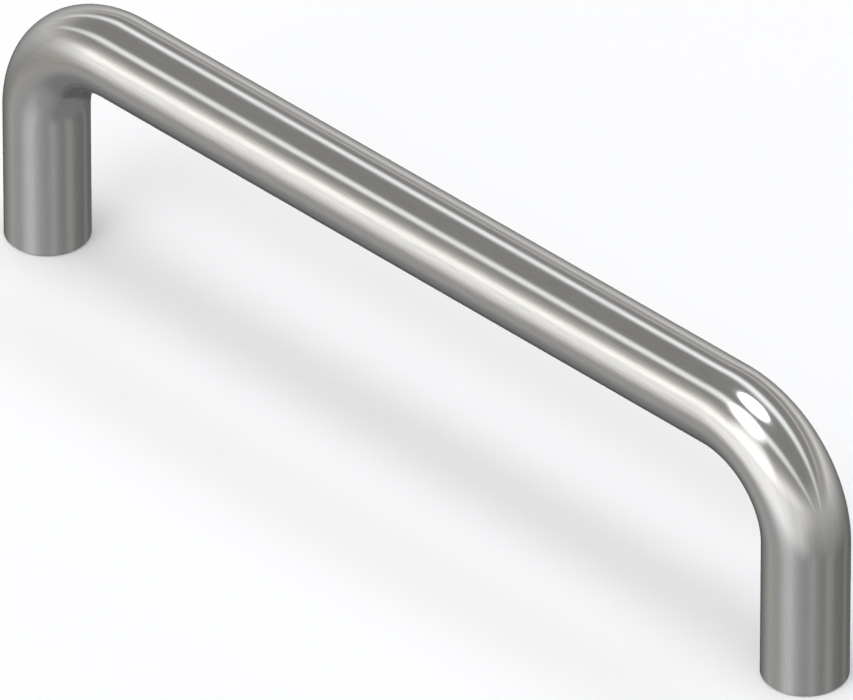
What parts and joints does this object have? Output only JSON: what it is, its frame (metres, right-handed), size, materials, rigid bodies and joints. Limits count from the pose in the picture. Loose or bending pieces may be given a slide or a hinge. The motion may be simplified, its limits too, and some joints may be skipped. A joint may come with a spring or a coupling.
{
  "type": "bar handle",
  "caption": "U-shaped bar handle bent from solid round steel bar, with a tapped blind hole in each foot for fixing from behind a panel.",
  "frame": {"origin": "midway between the two feet, on the plane of their faces, which is the surface that the handle is fixed to", "axes": "+X along the grip, +Z away from the mounting surface towards the grip, +Y across the bar"},
  "size_m": [0.13, 0.01, 0.035],
  "materials": {
    "steel": "satin ground and lightly polished along the bar, turned on the faces of the feet"
  },
  "bodies": {
    "root": {"bar_handle": "steel"}
  },
  "joints": []
}
